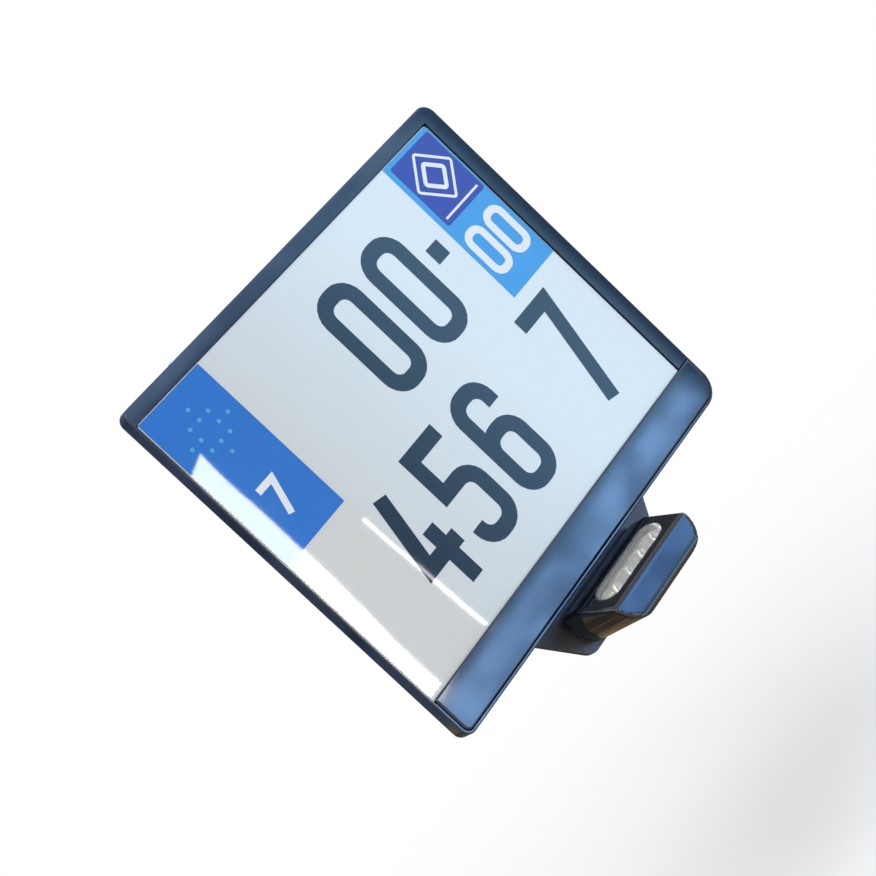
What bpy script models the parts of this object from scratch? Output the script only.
# Side mount licence plate holder for a motorcycle: a number plate in a moulded tray,
# a folded steel carrier, a plate lamp below it and a flat arm that bolts to the swingarm.
# Metres, +Z up. The pieces are drawn from the centre of the plate's face, which looks
# along -Y, and one empty carries them so that the origin lies on the swingarm face.

import bpy
import bmesh
from math import atan2, cos, pi, radians, sin, tan
from mathutils import Vector

# Gaps between pieces that touch on the real object
SEAT = 0.0003
SNUG = 0.00015
RUN_IN = 0.0002

# Number plate
PLATE_W = 0.170
PLATE_H = 0.130
PLATE_T = 0.003
PLATE_CORNER = 0.0015
PAD_T = 0.0006
PAD_SIZE = (0.030, 0.016)
PAD_INSET = (0.032, 0.026)

# Moulded tray round the plate
RIM_LEFT = 0.0012
RIM_RIGHT = 0.0075
RIM_TOP = 0.0058
RIM_PROUD = 0.0006
TRAY_FLOOR = 0.0014
TRAY_LOW_CORNERS = (0.004, 0.012)
TRAY_TOP_RIGHT_CORNER = 0.005
TRAY_TOP_LEFT_CORNER = 0.0015
TRAY_EDGE = 0.0009

# Clip-on strip that keeps the plate in the tray
STRIP_H = 0.016
STRIP_LAP = 0.001
STRIP_PROUD = 0.0012
STRIP_WALL = 0.0018
STRIP_BORDER = 0.0011
STRIP_EDGE = 0.0008
HOOK_INSETS = (0.013, 0.059)
HOOK_DROP = 0.0095
HOOK_W = 0.008
HOOK_T = 0.0016
HOOK_BARB = 0.0009
HOOK_NOSE = 0.0014

# Folded steel carrier behind the tray
SHEET_T = 0.0025
CARRIER_INSET = 0.005
CARRIER_CORNER = 0.008
BEND_R = 0.0025
FLANGE_REACH = 0.044
FLANGE_H = 0.062
FLANGE_CORNER = 0.010
SLOT_SIZE = (0.016, 0.006)
SLOT_PITCH = (0.050, 0.040)

# Tray screws, driven from behind into the moulding
TRAY_SCREW_D = 0.0035
TRAY_SCREW_INSET = 0.031
TRAY_SCREW_GRIP = 0.0038
TRAY_SCREW_HEAD = (0.0070, 0.0024)
TRAY_BOSS_D = 0.008

# Lamp bracket, nuts and welded studs
BRACKET_T = 0.002
BRACKET_TOP_W = 0.060
BRACKET_SCREW_GAP = 0.014
BRACKET_LAP = 0.030
BRACKET_CORNER = 0.006
STUD_D = 0.005
STUD_PITCH = 0.040
STUD_DROP = 0.008

# Plate lamp
LAMP_W = 0.050
LAMP_GAP = 0.0036
LAMP_H = 0.0174
LAMP_KNEE = 0.0024
LAMP_FRONT = 0.0202
LAMP_TILT = radians(18)
LAMP_LEAN = radians(12)
LAMP_EDGE = 0.0017
LAMP_LOW_CORNER = 0.007
LAMP_FRONT_CORNER = 0.0035
LAMP_CHIN = (0.0030, 0.0016)
GASKET_T = 0.001
LENS_W = 0.0385
LENS_D = 0.0108
LENS_SET = 0.0012
LENS_DOME = 0.0018
LENS_BACK = 0.0093
LENS_LEDGE = 0.0008
REFLECTOR_H = 0.0044
BOARD_T = 0.0012
LED_COUNT = 4
LED_PITCH = 0.0086
LED_SIZE = (0.0030, 0.0013)
CUP_R = (0.0026, 0.0040)
WIRE_WELL = (0.030, 0.006, 0.0026)
WIRE_DUCT_D = 0.0032
LAMP_SCREW_D = 0.005
LAMP_SCREW_PITCH = 0.030
LAMP_SCREW_UP = 0.008
LAMP_SCREW_BITE = 0.0075
INSERT_WALL = 0.001
GROMMET_D = 0.007
GROMMET_LIP = 0.001

# Arm, spacer block and bolts to the swingarm
ARM_T = 0.005
PIVOT_Y = 0.029
PIVOT_PITCH = 0.036
PIVOT_SWEEP = radians(14)
M8 = 0.008
FOOT_Y = 0.118
FOOT_Z = -0.006
FOOT_PITCH = 0.045
FOOT_H = 0.028
FOOT_END = 0.014
HEAD_MARGIN = 0.014
ARM_CORNER = 0.012
ARM_NECK_R = 0.0224
ARM_TOE_R = 0.0126
LIGHTENING = ((-0.0093, 0.015), (0.0093, 0.012))
BLOCK_T = 0.012
BLOCK_CORNER = 0.0084
BLOCK_EDGE = 0.001
MOUNT_BOLT_OUT = 0.016

# Screw and nut proportions, as shares of the thread's diameter
HEAD_D = 1.5
HEAD_H = 0.55
SOCKET_AF = 0.6
NUT_AF = 1.65
NUT_H = 0.8
WASHER_D = 2.0
WASHER_T = 0.2
PAST_NUT = 0.25

FRONT = (pi / 2, 0, 0)
SIDE = (pi / 2, 0, pi / 2)
LEVEL = (0, 0, 0)
HEAD_BACK = (-pi / 2, 0, 0)
HEAD_OUTBOARD = (0, -pi / 2, 0)
HEAD_INBOARD = (0, pi / 2, 0)

# Places that follow from the sizes
TRAY_LEFT = -PLATE_W / 2 - RIM_LEFT
TRAY_RIGHT = PLATE_W / 2 + RIM_RIGHT
TRAY_TOP = PLATE_H / 2 + RIM_TOP
TRAY_LOW = -PLATE_H / 2 - STRIP_H
FLOOR_Y = PLATE_T + PAD_T + 2 * SNUG
TRAY_BACK = FLOOR_Y + TRAY_FLOOR
CARRIER_Y = TRAY_BACK + SEAT
CARRIER_BACK = CARRIER_Y + SHEET_T
CARRIER_LOW = TRAY_LOW + CARRIER_INSET / 2
CARRIER_TOP = TRAY_TOP - SEAT
HOOK_X = [side * (PLATE_W / 2 - inset) for side in (-1, 1) for inset in HOOK_INSETS]
HOOK_Z = -PLATE_H / 2 - HOOK_DROP
TRAY_SCREW_X = PLATE_W / 2 - TRAY_SCREW_INSET
FLANGE_X = PLATE_W / 2 - SHEET_T
FLANGE_END = CARRIER_BACK + FLANGE_REACH
BRACKET_Y = CARRIER_BACK + SEAT
BRACKET_BACK = BRACKET_Y + BRACKET_T
STUD_Z = CARRIER_LOW + BRACKET_LAP / 2 + STUD_DROP / 2
GASKET_Y = BRACKET_Y - SEAT - GASKET_T
LAMP_BACK = GASKET_Y - SEAT
LAMP_TOP = TRAY_LOW - LAMP_GAP
LAMP_LOW = LAMP_TOP - LAMP_H
LENS_Y = LENS_BACK - LAMP_FRONT
LENS_Z = LAMP_TOP + tan(LAMP_TILT) * (LAMP_KNEE + LENS_Y)
BROW_Z = LAMP_TOP + tan(LAMP_TILT) * (LAMP_KNEE - LAMP_FRONT)
CHIN_Z = LAMP_LOW + LAMP_CHIN[1]
LAMP_NOSE = LAMP_FRONT + tan(LAMP_LEAN) * (BROW_Z - CHIN_Z)
POCKET_W = LENS_W + 2 * SEAT - 2 * LENS_LEDGE
POCKET_D = LENS_D + 2 * SEAT - 2 * LENS_LEDGE
REFLECTOR_TOP = -LENS_SET - 2 * SEAT
BOARD_TOP = REFLECTOR_TOP - REFLECTOR_H - SEAT
POCKET_FLOOR = BOARD_TOP - BOARD_T - SEAT
LAMP_SCREW_Z = LAMP_LOW + LAMP_SCREW_UP
DUCT_Z = LENS_Z + POCKET_FLOOR * cos(LAMP_TILT)
ARM_X = PLATE_W / 2 + SEAT
BLOCK_X = ARM_X + ARM_T + SEAT
MOUNT_X = BLOCK_X + BLOCK_T
PIVOT_AT = CARRIER_BACK + PIVOT_Y

FINISHES = {
    "plate_acrylic": ((0.78, 0.84, 0.88), 0.08, 0.0),
    "tray_plastic": ((0.012, 0.016, 0.028), 0.22, 0.0),
    "foam": ((0.05, 0.05, 0.05), 0.95, 0.0),
    "black_steel": ((0.018, 0.018, 0.019), 0.42, 0.3),
    "zinc_steel": ((0.62, 0.62, 0.60), 0.32, 1.0),
    "stainless": ((0.66, 0.65, 0.63), 0.25, 1.0),
    "lamp_plastic": ((0.010, 0.012, 0.018), 0.12, 0.0),
    "lens_clear": ((0.85, 0.85, 0.80), 0.05, 0.0),
    "reflector_chrome": ((0.80, 0.78, 0.72), 0.12, 1.0),
    "board_green": ((0.02, 0.16, 0.07), 0.5, 0.0),
    "led_white": ((0.90, 0.88, 0.62), 0.35, 0.0),
    "rubber": ((0.02, 0.02, 0.02), 0.85, 0.0),
    "brass": ((0.72, 0.52, 0.22), 0.3, 1.0),
    "anodised": ((0.03, 0.03, 0.035), 0.35, 0.8),
}


def clear_scene():
    for item in list(bpy.data.objects):
        bpy.data.objects.remove(item, do_unlink=True)


def collection(name):
    found = bpy.data.collections.new(name)
    bpy.context.scene.collection.children.link(found)
    return found


def make_finishes():
    made = {}
    for name, (colour, roughness, metallic) in FINISHES.items():
        material = bpy.data.materials.new(name)
        material.use_nodes = True
        shader = material.node_tree.nodes["Principled BSDF"]
        shader.inputs["Base Color"].default_value = (*colour, 1.0)
        shader.inputs["Roughness"].default_value = roughness
        shader.inputs["Metallic"].default_value = metallic
        material.diffuse_color = (*colour, 1.0)
        made[name] = material
    return made


clear_scene()
PIECES = collection("side_mount_plate_holder")
CUTTERS = collection("cutters")
MATERIALS = make_finishes()


def empty(name, location, rotation=LEVEL, parent=None):
    item = bpy.data.objects.new(name, None)
    item.location = location
    item.rotation_euler = rotation
    item.parent = parent
    PIECES.objects.link(item)
    return item


# The carrier of every piece, and the lamp's own tilted frame inside it
HOLDER = empty("holder", (-MOUNT_X, -FOOT_Y, -FOOT_Z))
LAMP = empty("lamp_frame", (0, LENS_Y, LENS_Z), (LAMP_TILT, 0, 0), HOLDER)


def piece(name, mesh, finish, location=(0, 0, 0), rotation=LEVEL, parent=HOLDER):
    item = bpy.data.objects.new(name, mesh)
    item.location = location
    item.rotation_euler = rotation
    item.parent = parent
    PIECES.objects.link(item)
    if not mesh.materials:
        mesh.materials.append(MATERIALS[finish])
    return item


def cutter(name, mesh, location=(0, 0, 0), rotation=LEVEL, parent=HOLDER):
    item = bpy.data.objects.new(name, mesh)
    item.location = location
    item.rotation_euler = rotation
    item.parent = parent
    item.hide_render = True
    item.display_type = "WIRE"
    CUTTERS.objects.link(item)
    return item


def combine(item, tool, operation="DIFFERENCE"):
    modifier = item.modifiers.new(tool.name, "BOOLEAN")
    modifier.operation = operation
    modifier.object = tool


def round_edges(item, width, segments=2, angle=radians(35)):
    modifier = item.modifiers.new("rounding", "BEVEL")
    modifier.width = width
    modifier.segments = segments
    modifier.limit_method = "ANGLE"
    modifier.angle_limit = angle


# Outlines: lists of (x, y) points, in the plane of the piece

def rounded(corners, steps=5):
    points = []
    for i, (x, y, radius) in enumerate(corners):
        corner = Vector((x, y))
        before = (Vector(corners[i - 1][:2]) - corner).normalized()
        after = (Vector(corners[(i + 1) % len(corners)][:2]) - corner).normalized()
        if radius == 0:
            points.append((x, y))
            continue
        half = before.angle(after) / 2
        centre = corner + (before + after).normalized() * (radius / sin(half))
        start = corner + before * (radius / tan(half)) - centre
        end = corner + after * (radius / tan(half)) - centre
        first = atan2(start.y, start.x)
        sweep = (atan2(end.y, end.x) - first + pi) % (2 * pi) - pi
        for k in range(steps + 1):
            turn = first + sweep * k / steps
            points.append((centre.x + radius * cos(turn), centre.y + radius * sin(turn)))
    return points


def box_outline(x0, x1, y0, y1, radius=0.0, steps=5):
    corners = [(x0, y0, radius), (x1, y0, radius), (x1, y1, radius), (x0, y1, radius)]
    return rounded(corners, steps)


def ring(x, y, radius, count=20):
    return [(x + radius * cos(2 * pi * k / count), y + radius * sin(2 * pi * k / count))
            for k in range(count)]


def arc(x, y, radius, first, last, steps=5):
    return [(x + radius * cos(first + (last - first) * k / steps),
             y + radius * sin(first + (last - first) * k / steps)) for k in range(steps + 1)]


def obround(x, y, length, width, steps=6):
    reach = (length - width) / 2
    points = arc(x + reach, y, width / 2, -pi / 2, pi / 2, steps)
    return points + arc(x - reach, y, width / 2, pi / 2, 3 * pi / 2, steps)


def sheet_mesh(name, loops, thickness):
    """A flat outline with holes, as a closed mesh centred on its own plane."""
    curve = bpy.data.curves.new(name, "CURVE")
    curve.dimensions = "2D"
    curve.fill_mode = "BOTH"
    curve.extrude = thickness / 2
    for loop in loops:
        spline = curve.splines.new("POLY")
        spline.points.add(len(loop) - 1)
        spline.use_cyclic_u = True
        for point, (x, y) in zip(spline.points, loop):
            point.co = (x, y, 0, 1)
    item = bpy.data.objects.new(name, curve)
    bpy.context.scene.collection.objects.link(item)
    seen = item.evaluated_get(bpy.context.evaluated_depsgraph_get())
    mesh = bpy.data.meshes.new_from_object(seen)
    bpy.data.objects.remove(item, do_unlink=True)
    shape = bmesh.new()
    shape.from_mesh(mesh)
    bmesh.ops.remove_doubles(shape, verts=shape.verts, dist=1e-7)
    bmesh.ops.recalc_face_normals(shape, faces=shape.faces)
    shape.to_mesh(mesh)
    shape.free()
    mesh.name = name
    return mesh


def prism_mesh(name, outline, low, high):
    """A plain outline pulled from one height to another, with one face at each end."""
    shape = bmesh.new()
    base = shape.faces.new([shape.verts.new((x, y, low)) for x, y in outline])
    top = bmesh.ops.extrude_face_region(shape, geom=[base])
    raised = [v for v in top["geom"] if isinstance(v, bmesh.types.BMVert)]
    bmesh.ops.translate(shape, verts=raised, vec=(0, 0, high - low))
    bmesh.ops.recalc_face_normals(shape, faces=shape.faces)
    mesh = bpy.data.meshes.new(name)
    shape.to_mesh(mesh)
    shape.free()
    return mesh


def cone_mesh(name, spots, low_r, high_r, low, high, count=16):
    """Round tapered cutters side by side in one mesh, standing on the XY plane."""
    shape = bmesh.new()
    for x, y in spots:
        made = bmesh.ops.create_cone(shape, cap_ends=True, segments=count, radius1=low_r,
                                     radius2=high_r, depth=high - low)
        bmesh.ops.translate(shape, verts=made["verts"], vec=(x, y, (low + high) / 2))
    mesh = bpy.data.meshes.new(name)
    shape.to_mesh(mesh)
    shape.free()
    return mesh


def drill_mesh(name, spots, diameter, low, high, count=20):
    return cone_mesh(name, spots, diameter / 2, diameter / 2, low, high, count)


def turned_item(name, profile, steps=20):
    """A turned body: the profile of (radius, height) runs down its outer side."""
    mesh = bpy.data.meshes.new(name)
    points = [(radius, 0, height) for radius, height in profile]
    mesh.from_pydata(points, [(i, i + 1) for i in range(len(points) - 1)], [])
    item = bpy.data.objects.new(name, mesh)
    CUTTERS.objects.link(item)
    screw = item.modifiers.new("turning", "SCREW")
    screw.steps = steps
    screw.render_steps = steps
    screw.use_merge_vertices = True
    screw.merge_threshold = 0.00001
    screw.use_normal_calculate = False
    return item


def settle(item, finish):
    """The mesh of a helper object with its modifiers applied; the helper goes."""
    seen = item.evaluated_get(bpy.context.evaluated_depsgraph_get())
    mesh = bpy.data.meshes.new_from_object(seen)
    mesh.materials.clear()
    mesh.materials.append(MATERIALS[finish])
    bpy.data.objects.remove(item, do_unlink=True)
    mesh.shade_smooth()
    mesh.set_sharp_from_angle(angle=radians(32))
    return mesh


def screw_mesh(name, finish, diameter, length, head_d, head_h, socket):
    """A button-head screw with a hexagon socket; its head's underside is at height 0."""
    r, top, edge = diameter / 2, head_d / 2, diameter * 0.08
    profile = [(0, head_h), (top * 0.62, head_h), (top * 0.9, head_h * 0.66), (top, head_h * 0.2),
               (top, 0), (r, 0), (r, edge - length), (r - edge, -length), (0, -length)]
    item = turned_item(name, profile, 16)
    key = cutter(name + "_key", prism_mesh(name + "_key", ring(0, 0, socket / 2 / cos(pi / 6), 6),
                                           head_h * 0.35, head_h * 2), parent=None)
    combine(item, key)
    bpy.context.view_layer.update()
    mesh = settle(item, finish)
    bpy.data.objects.remove(key, do_unlink=True)
    return mesh


def nut_mesh(name, finish, diameter):
    """A hexagon nut with chamfered corners, standing on height 0."""
    across, height = NUT_AF * diameter, NUT_H * diameter
    corner, flat = across / 2 / cos(pi / 6), across / 2
    slope = (corner - flat) * 0.6
    loops = [ring(0, 0, corner, 6), ring(0, 0, diameter / 2 + SNUG, 18)]
    blank = sheet_mesh(name, loops, height)
    item = cutter(name, blank, (0, 0, height / 2), parent=None)
    profile = [(0, height), (flat, height), (corner + SNUG, height - slope),
               (corner + SNUG, slope), (flat, 0), (0, 0)]
    form = turned_item(name + "_form", profile, 24)
    combine(item, form, "INTERSECT")
    bpy.context.view_layer.update()
    mesh = settle(item, finish)
    bpy.data.objects.remove(form, do_unlink=True)
    for vertex in mesh.vertices:
        vertex.co.z += height / 2
    return mesh


def washer_mesh(name, finish, diameter):
    """A flat washer, centred on its own plane."""
    loops = [ring(0, 0, WASHER_D * diameter / 2, 24), ring(0, 0, diameter / 2 + SNUG, 18)]
    mesh = sheet_mesh(name, loops, WASHER_T * diameter)
    mesh.materials.append(MATERIALS[finish])
    return mesh


# Number plate and the pads behind it

def make_plate():
    half_w, half_h = PLATE_W / 2, PLATE_H / 2
    outline = box_outline(-half_w, half_w, -half_h, half_h, PLATE_CORNER, 3)
    piece("number_plate", prism_mesh("number_plate", outline, -PLATE_T, 0), "plate_acrylic",
          rotation=FRONT)
    long, tall = PAD_SIZE
    pad = sheet_mesh("adhesive_pad", [box_outline(-long / 2, long / 2, -tall / 2, tall / 2)], PAD_T)
    for i, (side, up) in enumerate(((-1, 1), (1, 1), (-1, -1), (1, -1))):
        spot = (side * (half_w - PAD_INSET[0]), PLATE_T + SNUG + PAD_T / 2,
                up * (half_h - PAD_INSET[1]))
        piece(f"adhesive_pad_{i + 1}", pad, "foam", spot, FRONT)


# Moulded tray

def tray_screw_spots():
    top = PLATE_H / 2 + SEAT + (RIM_TOP - SEAT) / 2
    low = -PLATE_H / 2 - STRIP_H / 2
    return [(-TRAY_SCREW_X, top), (TRAY_SCREW_X, top), (-TRAY_SCREW_X, low), (TRAY_SCREW_X, low)]


def make_tray():
    left_corner, right_corner = TRAY_LOW_CORNERS
    corners = [(TRAY_LEFT, TRAY_LOW, left_corner), (TRAY_RIGHT, TRAY_LOW, right_corner),
               (TRAY_RIGHT, TRAY_TOP, TRAY_TOP_RIGHT_CORNER),
               (TRAY_LEFT, TRAY_TOP, TRAY_TOP_LEFT_CORNER)]
    blank = prism_mesh("plate_tray", rounded(corners), -TRAY_BACK, RIM_PROUD)
    tray = piece("plate_tray", blank, "tray_plastic", rotation=FRONT)
    round_edges(tray, TRAY_EDGE)
    air = 0.01
    half_w, half_h = PLATE_W / 2 + SEAT, PLATE_H / 2 + SEAT
    recess = box_outline(-half_w, half_w, -half_h, half_h)
    combine(tray, cutter("plate_recess", prism_mesh("plate_recess", recess, -FLOOR_Y, air),
                         rotation=FRONT))
    seat = rounded([(TRAY_LEFT + STRIP_BORDER, TRAY_LOW + STRIP_BORDER,
                     left_corner - STRIP_BORDER),
                    (TRAY_RIGHT - STRIP_BORDER, TRAY_LOW + STRIP_BORDER,
                     right_corner - STRIP_BORDER),
                    (TRAY_RIGHT - STRIP_BORDER, STRIP_LAP + SEAT - PLATE_H / 2, 0),
                    (TRAY_LEFT + STRIP_BORDER, STRIP_LAP + SEAT - PLATE_H / 2, 0)])
    combine(tray, cutter("strip_recess", prism_mesh("strip_recess", seat, -FLOOR_Y, air),
                         rotation=FRONT))
    spots = tray_screw_spots()
    boss_top = STRIP_WALL - STRIP_PROUD + SEAT
    bosses = drill_mesh("tray_bosses", spots[2:], TRAY_BOSS_D, -FLOOR_Y - TRAY_FLOOR / 2, -boss_top)
    combine(tray, cutter("tray_bosses", bosses, rotation=FRONT), "UNION")
    bore = TRAY_SCREW_D + 2 * RUN_IN
    depth = FLOOR_Y - TRAY_SCREW_GRIP + TRAY_FLOOR - SEAT
    holes = drill_mesh("tray_screw_holes", spots, bore, -TRAY_BACK - air, -depth, 16)
    combine(tray, cutter("tray_screw_holes", holes, rotation=FRONT))
    for i, x in enumerate(HOOK_X):
        slot = box_outline(x - HOOK_W / 2 - SEAT, x + HOOK_W / 2 + SEAT,
                           HOOK_Z - HOOK_T / 2 - SEAT, HOOK_Z + HOOK_T / 2 + SEAT)
        name = f"hook_slot_{i + 1}"
        combine(tray, cutter(name, prism_mesh(name, slot, -TRAY_BACK - air, -FLOOR_Y + TRAY_FLOOR),
                             rotation=FRONT))


# Retaining strip with its hooks

def make_strip():
    edge = STRIP_BORDER + SEAT
    x0, x1 = TRAY_LEFT + edge, TRAY_RIGHT - edge
    z0, z1 = TRAY_LOW + edge, STRIP_LAP - PLATE_H / 2
    left_corner, right_corner = [radius - edge for radius in TRAY_LOW_CORNERS]
    back = FLOOR_Y - SEAT
    outline = rounded([(x0, z0, left_corner), (x1, z0, right_corner), (x1, z1, 0), (x0, z1, 0)])
    strip = piece("retaining_strip", prism_mesh("retaining_strip", outline, -back, STRIP_PROUD),
                  "tray_plastic", rotation=FRONT)
    round_edges(strip, STRIP_EDGE)
    step = box_outline(x0 - edge, x1 + edge, -PLATE_H / 2 - SEAT, z1 + edge)
    combine(strip, cutter("plate_lap", prism_mesh("plate_lap", step, -back - edge, SEAT),
                          rotation=FRONT))
    inner = STRIP_WALL
    floor = -(STRIP_WALL - STRIP_PROUD)
    hollow = rounded([(x0 + inner, z0 + inner, max(0, left_corner - inner)),
                      (x1 - inner, z0 + inner, max(0, right_corner - inner)),
                      (x1 - inner, -PLATE_H / 2 - SEAT - inner, 0),
                      (x0 + inner, -PLATE_H / 2 - SEAT - inner, 0)])
    combine(strip, cutter("strip_hollow", prism_mesh("strip_hollow", hollow, -back - edge, floor),
                          rotation=FRONT))
    low, high = HOOK_Z - HOOK_T / 2, HOOK_Z + HOOK_T / 2
    root = -floor - STRIP_WALL / 2
    catch = TRAY_BACK + RUN_IN
    profile = [(root, low), (catch + HOOK_NOSE, low), (catch + HOOK_NOSE, high - HOOK_BARB / 2),
               (catch + HOOK_NOSE / 3, high + HOOK_BARB), (catch, high + HOOK_BARB), (catch, high),
               (root, high)]
    for i, x in enumerate(HOOK_X):
        name = f"hook_{i + 1}"
        hook = cutter(name, prism_mesh(name, profile, -HOOK_W / 2, HOOK_W / 2), (x, 0, 0), SIDE)
        combine(strip, hook, "UNION")


# Folded carrier with its flange and welded studs

def make_carrier():
    outer = BEND_R + SHEET_T
    bend_x = FLANGE_X + SHEET_T - outer
    left = TRAY_LEFT + CARRIER_INSET
    loops = [box_outline(left, bend_x, CARRIER_LOW, CARRIER_TOP, CARRIER_CORNER)]
    for x, z in tray_screw_spots():
        loops.append(obround(x, z, TRAY_SCREW_D * 2, TRAY_SCREW_D + 2 * SEAT, 5))
    for x in HOOK_X:
        reach = HOOK_W / 2 + HOOK_NOSE
        loops.append(box_outline(x - reach, x + reach, HOOK_Z - HOOK_T - HOOK_NOSE,
                                 HOOK_Z + HOOK_T + HOOK_NOSE, HOOK_NOSE / 2, 2))
    for column in (-1, 0, 1):
        for row in (-0.5, 0.5):
            loops.append(obround(column * SLOT_PITCH[0], row * SLOT_PITCH[1], *SLOT_SIZE, 5))
    middle = CARRIER_Y + SHEET_T / 2
    carrier = piece("carrier_panel", sheet_mesh("carrier_panel", loops, SHEET_T), "black_steel",
                    (0, middle, 0), FRONT)
    y0, y1, x1 = CARRIER_Y, CARRIER_BACK, FLANGE_X + SHEET_T
    lead = bend_x - outer
    profile = [(lead, y0)] + arc(bend_x, y0 + outer, outer, -pi / 2, 0)
    profile += [(x1, FLANGE_END), (FLANGE_X, FLANGE_END)]
    profile += arc(bend_x, y0 + outer, BEND_R, 0, -pi / 2) + [(lead, y1)]
    flange = prism_mesh("flange", profile, -FLANGE_H / 2, FLANGE_H / 2)
    shape = bmesh.new()
    shape.from_mesh(flange)
    ends = [e for e in shape.edges if all(abs(v.co.y - FLANGE_END) < 1e-6 for v in e.verts)
            and abs(e.verts[0].co.z - e.verts[1].co.z) < 1e-6]
    bmesh.ops.bevel(shape, geom=ends, offset=FLANGE_CORNER, segments=5, profile=0.5,
                    affect="EDGES")
    shape.to_mesh(flange)
    shape.free()
    combine(carrier, cutter("flange", flange), "UNION")
    studs = drill_mesh("lamp_studs", stud_spots(), STUD_D, -stud_end(), -CARRIER_BACK + SHEET_T / 2, 16)
    combine(carrier, cutter("lamp_studs", studs, rotation=FRONT), "UNION")
    holes = drill_mesh("pivot_holes", [(PIVOT_AT, PIVOT_PITCH / 2), (PIVOT_AT, -PIVOT_PITCH / 2)],
                       M8 + 2 * SEAT, FLANGE_X - SHEET_T, FLANGE_X + 2 * SHEET_T)
    combine(carrier, cutter("pivot_holes", holes, rotation=SIDE))


def stud_spots():
    return [(-STUD_PITCH / 2, STUD_Z), (STUD_PITCH / 2, STUD_Z)]


def stud_end():
    return BRACKET_BACK + (WASHER_T + NUT_H + PAST_NUT) * STUD_D + 2 * SEAT


# Lamp bracket and what holds it

def make_bracket():
    top = CARRIER_LOW + BRACKET_LAP
    low = LAMP_LOW + SEAT
    wide, narrow, lamp = TRAY_SCREW_X - BRACKET_SCREW_GAP, BRACKET_TOP_W / 2, LAMP_W / 2
    outline = rounded([(-lamp, low, BRACKET_CORNER), (lamp, low, BRACKET_CORNER),
                       (wide, TRAY_LOW, BRACKET_CORNER), (narrow, top, BRACKET_CORNER),
                       (-narrow, top, BRACKET_CORNER), (-wide, TRAY_LOW, BRACKET_CORNER)])
    loops = [outline, ring(0, DUCT_Z, GROMMET_D / 2)]
    loops += [ring(x, z, STUD_D / 2 + SEAT) for x, z in stud_spots()]
    loops += [ring(x, z, LAMP_SCREW_D / 2 + SEAT) for x, z in lamp_screw_spots()]
    piece("lamp_bracket", sheet_mesh("lamp_bracket", loops, BRACKET_T), "black_steel",
          (0, BRACKET_Y + BRACKET_T / 2, 0), FRONT)
    washer = washer_mesh("stud_washer", "zinc_steel", STUD_D)
    nut = nut_mesh("stud_nut", "zinc_steel", STUD_D)
    thick = WASHER_T * STUD_D
    for i, (x, z) in enumerate(stud_spots()):
        piece(f"stud_washer_{i + 1}", washer, "zinc_steel",
              (x, BRACKET_BACK + SNUG + thick / 2, z), HEAD_BACK)
        piece(f"stud_nut_{i + 1}", nut, "zinc_steel",
              (x, BRACKET_BACK + 2 * SNUG + thick, z), HEAD_BACK)


def lamp_screw_spots():
    return [(-LAMP_SCREW_PITCH / 2, LAMP_SCREW_Z), (LAMP_SCREW_PITCH / 2, LAMP_SCREW_Z)]


# Plate lamp

def make_lamp_housing():
    """The side view's outline, trimmed by the front view's, the plan's and the lens face's."""
    half, soft = LAMP_W / 2, 2 * LAMP_EDGE
    side = rounded([(LAMP_BACK, LAMP_LOW, 0), (LAMP_BACK, LAMP_TOP, 0), (-LAMP_KNEE, LAMP_TOP, 0),
                    (-LAMP_FRONT, BROW_Z, LAMP_EDGE), (-LAMP_NOSE, CHIN_Z, LAMP_EDGE),
                    (LAMP_CHIN[0] - LAMP_NOSE, LAMP_LOW, soft)], 4)
    housing = piece("lamp_housing", prism_mesh("lamp_housing", side, -half, half),
                    "lamp_plastic", rotation=SIDE)
    front = rounded([(-half, LAMP_LOW, LAMP_LOW_CORNER), (half, LAMP_LOW, LAMP_LOW_CORNER),
                     (half, LAMP_TOP, LAMP_EDGE), (-half, LAMP_TOP, LAMP_EDGE)], 4)
    plan = rounded([(half, LAMP_BACK, 0), (-half, LAMP_BACK, 0),
                    (-half, -LAMP_NOSE, LAMP_FRONT_CORNER), (half, -LAMP_NOSE, LAMP_FRONT_CORNER)], 4)
    lens_face = rounded([(-half, -LAMP_W, 0), (half, -LAMP_W, 0), (half, 0, LAMP_EDGE),
                         (-half, 0, LAMP_EDGE)], 4)
    for name, outline, rotation, parent in (("lamp_front", front, FRONT, HOLDER),
                                            ("lamp_plan", plan, LEVEL, HOLDER),
                                            ("lamp_lens_face", lens_face, FRONT, LAMP)):
        form = prism_mesh(name, outline, -3 * LAMP_W, 3 * LAMP_W)
        combine(housing, cutter(name, form, rotation=rotation, parent=parent), "INTERSECT")
    air = 0.01
    rebate = obround(0, 0, LENS_W + 2 * SEAT, LENS_D + 2 * SEAT, 8)
    pocket = obround(0, 0, POCKET_W, POCKET_D, 8)
    well = box_outline(-WIRE_WELL[0] / 2, WIRE_WELL[0] / 2, -WIRE_WELL[1] / 2, WIRE_WELL[1] / 2)
    levels = (("lens_rebate", rebate, -LENS_SET - SEAT, air),
              ("lamp_pocket", pocket, POCKET_FLOOR, air),
              ("wire_well", well, POCKET_FLOOR - WIRE_WELL[2], 0))
    for name, outline, low, high in levels:
        combine(housing, cutter(name, prism_mesh(name, outline, low, high), parent=LAMP))
    bore = LAMP_SCREW_D + 2 * (SNUG + INSERT_WALL + RUN_IN)
    holes = drill_mesh("insert_holes", lamp_screw_spots(), bore, -LAMP_BACK - air,
                       -LAMP_BACK + LAMP_SCREW_BITE + SEAT)
    combine(housing, cutter("insert_holes", holes, rotation=FRONT))
    duct = drill_mesh("wire_duct", [(0, DUCT_Z)], WIRE_DUCT_D, -LAMP_BACK - air, -LENS_Y, 12)
    combine(housing, cutter("wire_duct", duct, rotation=FRONT))


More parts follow.
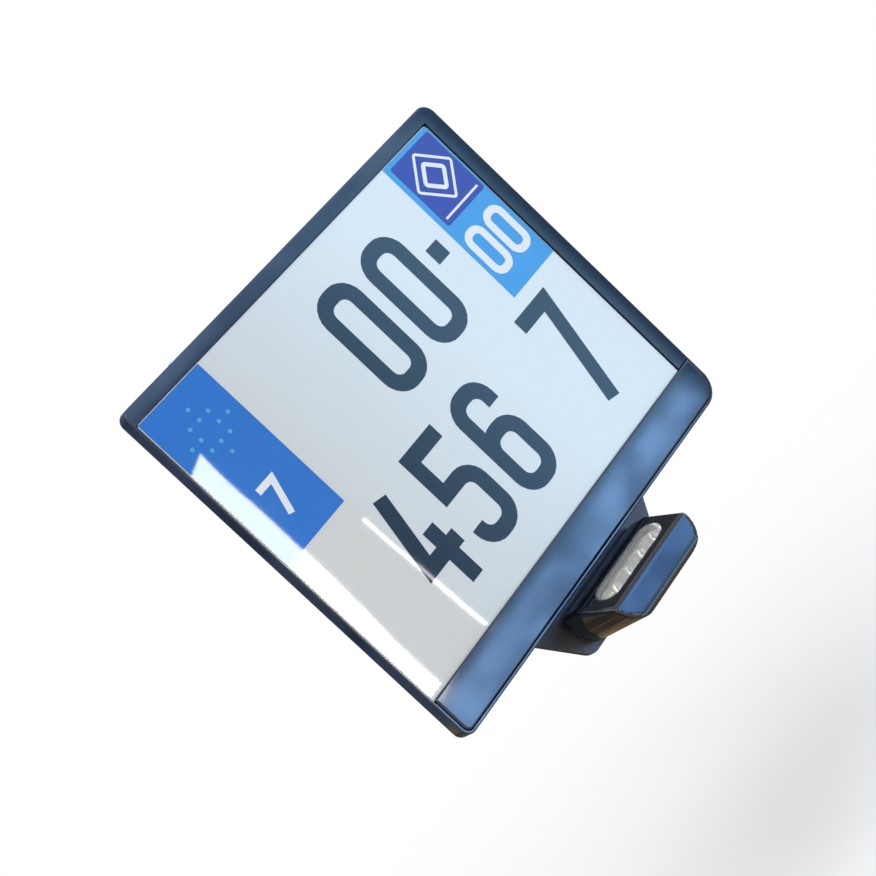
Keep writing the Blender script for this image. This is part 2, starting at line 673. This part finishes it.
def lens_mesh():
    """A stadium with a straight edge below the surface and a crowned top above it."""
    shape = bmesh.new()
    levels = [(0.0, -LENS_SET), (0.0, 0.0)]
    crown = 5
    for k in range(1, crown + 1):
        turn = pi / 2 * k / crown
        levels.append((LENS_D * 0.42 * (1 - cos(turn)), LENS_DOME * sin(turn)))
    rows = []
    for inset, height in levels:
        outline = obround(0, 0, LENS_W - 2 * inset, LENS_D - 2 * inset, 8)
        rows.append([shape.verts.new((x, y, height)) for x, y in outline])
    for low, high in zip(rows, rows[1:]):
        for i in range(len(low)):
            j = (i + 1) % len(low)
            shape.faces.new((low[i], low[j], high[j], high[i]))
    shape.faces.new(list(reversed(rows[0])))
    shape.faces.new(rows[-1])
    bmesh.ops.recalc_face_normals(shape, faces=shape.faces)
    mesh = bpy.data.meshes.new("lamp_lens")
    shape.to_mesh(mesh)
    shape.free()
    mesh.shade_smooth()
    mesh.set_sharp_from_angle(angle=radians(40))
    return mesh


def led_spots():
    return [((k - (LED_COUNT - 1) / 2) * LED_PITCH, 0) for k in range(LED_COUNT)]


def make_lamp_inside():
    piece("lamp_lens", lens_mesh(), "lens_clear", parent=LAMP)
    insert = obround(0, 0, POCKET_W - 2 * SEAT, POCKET_D - 2 * SEAT, 8)
    low = REFLECTOR_TOP - REFLECTOR_H
    reflector = piece("lamp_reflector", prism_mesh("lamp_reflector", insert, low, REFLECTOR_TOP),
                      "reflector_chrome", parent=LAMP)
    cups = cone_mesh("reflector_cups", led_spots(), CUP_R[0], CUP_R[1], low - SEAT,
                     REFLECTOR_TOP + SEAT)
    combine(reflector, cutter("reflector_cups", cups, parent=LAMP))
    piece("lamp_board", prism_mesh("lamp_board", insert, BOARD_TOP - BOARD_T, BOARD_TOP),
          "board_green", parent=LAMP)
    wide, tall = LED_SIZE
    chip = prism_mesh("led", box_outline(-wide / 2, wide / 2, -wide / 2, wide / 2), 0, tall)
    for i, (x, y) in enumerate(led_spots()):
        piece(f"led_{i + 1}", chip, "led_white", (x, y, BOARD_TOP + SNUG), parent=LAMP)


def make_lamp_fixings():
    inset = LAMP_EDGE / 2
    half = LAMP_W / 2 - inset
    outline = box_outline(-half, half, LAMP_LOW + inset, LAMP_TOP - inset, LAMP_LOW_CORNER - inset)
    loops = [outline, ring(0, DUCT_Z, GROMMET_D / 2 + GROMMET_LIP + SEAT)]
    loops += [ring(x, z, LAMP_SCREW_D / 2 + SEAT) for x, z in lamp_screw_spots()]
    piece("lamp_gasket", sheet_mesh("lamp_gasket", loops, GASKET_T), "rubber",
          (0, GASKET_Y + GASKET_T / 2, 0), FRONT)
    bore = LAMP_SCREW_D / 2 + SNUG
    sleeve = sheet_mesh("lamp_insert", [ring(0, 0, bore + INSERT_WALL), ring(0, 0, bore)],
                        LAMP_SCREW_BITE - SEAT)
    washer = washer_mesh("lamp_washer", "stainless", LAMP_SCREW_D)
    thick = WASHER_T * LAMP_SCREW_D
    length = BRACKET_BACK + 2 * SNUG + thick - LAMP_BACK + LAMP_SCREW_BITE - SEAT
    screw = screw_mesh("lamp_screw", "stainless", LAMP_SCREW_D, length, HEAD_D * LAMP_SCREW_D,
                       HEAD_H * LAMP_SCREW_D, SOCKET_AF * LAMP_SCREW_D)
    for i, (x, z) in enumerate(lamp_screw_spots()):
        middle = LAMP_BACK - SEAT - (LAMP_SCREW_BITE - SEAT) / 2
        piece(f"lamp_insert_{i + 1}", sleeve, "brass", (x, middle, z), FRONT)
        piece(f"lamp_washer_{i + 1}", washer, "stainless",
              (x, BRACKET_BACK + SNUG + thick / 2, z), HEAD_BACK)
        piece(f"lamp_screw_{i + 1}", screw, "stainless",
              (x, BRACKET_BACK + 2 * SNUG + thick, z), HEAD_BACK)


def make_grommet():
    """A rubber grommet round the lamp's cable way, gripping the bracket's hole."""
    neck, lip, bore = GROMMET_D / 2 - SEAT / 2, GROMMET_D / 2 + GROMMET_LIP, WIRE_DUCT_D / 2
    inner, outer = GASKET_Y - SNUG, BRACKET_BACK + SNUG + GROMMET_LIP
    near, far = BRACKET_Y - SNUG, BRACKET_BACK + SNUG
    profile = [(bore, outer), (lip - GROMMET_LIP / 2, outer), (lip, outer - GROMMET_LIP / 2),
               (lip, far), (neck, far), (neck, near), (lip, near), (lip, inner), (bore, inner),
               (bore, outer)]
    mesh = settle(turned_item("cable_grommet", profile, 20), "rubber")
    piece("cable_grommet", mesh, "rubber", (0, 0, DUCT_Z), HEAD_BACK)


def make_tray_screws():
    length = CARRIER_BACK + SNUG - FLOOR_Y + TRAY_SCREW_GRIP - TRAY_FLOOR
    head_d, head_h = TRAY_SCREW_HEAD
    screw = screw_mesh("tray_screw", "stainless", TRAY_SCREW_D, length, head_d, head_h,
                       SOCKET_AF * TRAY_SCREW_D)
    for i, (x, z) in enumerate(tray_screw_spots()):
        piece(f"tray_screw_{i + 1}", screw, "stainless", (x, CARRIER_BACK + SNUG, z), HEAD_BACK)


# Arm to the swingarm, with a pivot hole and an arc slot to set the plate's angle

def arc_slot(y, z, radius, sweep, width):
    """A slot along a circle round (y, z), centred straight below it."""
    half, middle = width / 2, -pi / 2
    first, last = middle - sweep / 2, middle + sweep / 2
    start = (y + radius * cos(first), z + radius * sin(first))
    end = (y + radius * cos(last), z + radius * sin(last))
    points = arc(y, z, radius + half, first, last, 6)
    points += arc(end[0], end[1], half, last, last + pi, 5)[1:-1]
    points += arc(y, z, radius - half, last, first, 6)
    points += arc(start[0], start[1], half, first + pi, first + 2 * pi, 5)[1:-1]
    return points


def make_arm():
    reach = PIVOT_PITCH / 2 + HEAD_MARGIN
    y0, y1 = PIVOT_AT - HEAD_MARGIN, PIVOT_AT + HEAD_MARGIN
    foot_start = FOOT_Y - FOOT_PITCH / 2 - FOOT_END
    foot_stop = FOOT_Y + FOOT_PITCH / 2 + FOOT_END
    z0, z1 = FOOT_Z - FOOT_H / 2, FOOT_Z + FOOT_H / 2
    outline = rounded([(y0, -reach, ARM_CORNER), (y1, -reach, ARM_CORNER),
                       (foot_start, z0, ARM_NECK_R), (foot_stop, z0, ARM_TOE_R),
                       (foot_stop, z1, ARM_TOE_R), (foot_start, z1, ARM_NECK_R),
                       (y1, reach, ARM_CORNER), (y0, reach, ARM_CORNER)])
    clear = M8 + 2 * SEAT
    loops = [outline, ring(PIVOT_AT, PIVOT_PITCH / 2, clear / 2),
             arc_slot(PIVOT_AT, PIVOT_PITCH / 2, PIVOT_PITCH, PIVOT_SWEEP, clear)]
    loops += [ring(y, FOOT_Z, clear / 2) for y in foot_spots()]
    waist = (y1 + foot_start) / 2
    loops += [ring(waist + along, FOOT_Z / 2, width / 2) for along, width in LIGHTENING]
    piece("arm", sheet_mesh("arm", loops, ARM_T), "black_steel", (ARM_X + ARM_T / 2, 0, 0), SIDE)


def foot_spots():
    return [FOOT_Y - FOOT_PITCH / 2, FOOT_Y + FOOT_PITCH / 2]


def make_block():
    length = FOOT_PITCH + 2 * FOOT_END
    outline = box_outline(FOOT_Y - length / 2, FOOT_Y + length / 2, FOOT_Z - FOOT_H / 2,
                          FOOT_Z + FOOT_H / 2, BLOCK_CORNER)
    block = piece("spacer_block", prism_mesh("spacer_block", outline, BLOCK_X, MOUNT_X),
                  "anodised", rotation=SIDE)
    round_edges(block, BLOCK_EDGE, 1)
    bores = drill_mesh("block_bores", [(y, FOOT_Z) for y in foot_spots()], M8 + 2 * SEAT,
                       BLOCK_X - BLOCK_T, MOUNT_X + BLOCK_T)
    combine(block, cutter("block_bores", bores, rotation=SIDE))


def make_arm_bolts():
    washer = washer_mesh("arm_washer", "stainless", M8)
    nut = nut_mesh("arm_nut", "stainless", M8)
    thick = WASHER_T * M8
    head_at = FLANGE_X - SNUG
    nut_at = ARM_X + ARM_T + 2 * SNUG + thick
    length = nut_at + (NUT_H + PAST_NUT) * M8 - head_at
    bolt = screw_mesh("arm_bolt", "stainless", M8, length, HEAD_D * M8, HEAD_H * M8,
                      SOCKET_AF * M8)
    for i, z in enumerate((PIVOT_PITCH / 2, -PIVOT_PITCH / 2)):
        piece(f"arm_bolt_{i + 1}", bolt, "stainless", (head_at, PIVOT_AT, z), HEAD_OUTBOARD)
        piece(f"arm_washer_{i + 1}", washer, "stainless",
              (nut_at - SNUG - thick / 2, PIVOT_AT, z), HEAD_INBOARD)
        piece(f"arm_nut_{i + 1}", nut, "stainless", (nut_at, PIVOT_AT, z), HEAD_INBOARD)
    head_at = ARM_X - 2 * SNUG - thick
    length = MOUNT_X + MOUNT_BOLT_OUT - head_at
    bolt = screw_mesh("mount_bolt", "stainless", M8, length, HEAD_D * M8, HEAD_H * M8,
                      SOCKET_AF * M8)
    for i, y in enumerate(foot_spots()):
        piece(f"mount_bolt_{i + 1}", bolt, "stainless", (head_at, y, FOOT_Z), HEAD_OUTBOARD)
        piece(f"mount_washer_{i + 1}", washer, "stainless",
              (ARM_X - SNUG - thick / 2, y, FOOT_Z), HEAD_OUTBOARD)


make_plate()
make_tray()
make_strip()
make_carrier()
make_tray_screws()
make_bracket()
make_lamp_housing()
make_lamp_inside()
make_lamp_fixings()
make_grommet()
make_arm()
make_block()
make_arm_bolts()
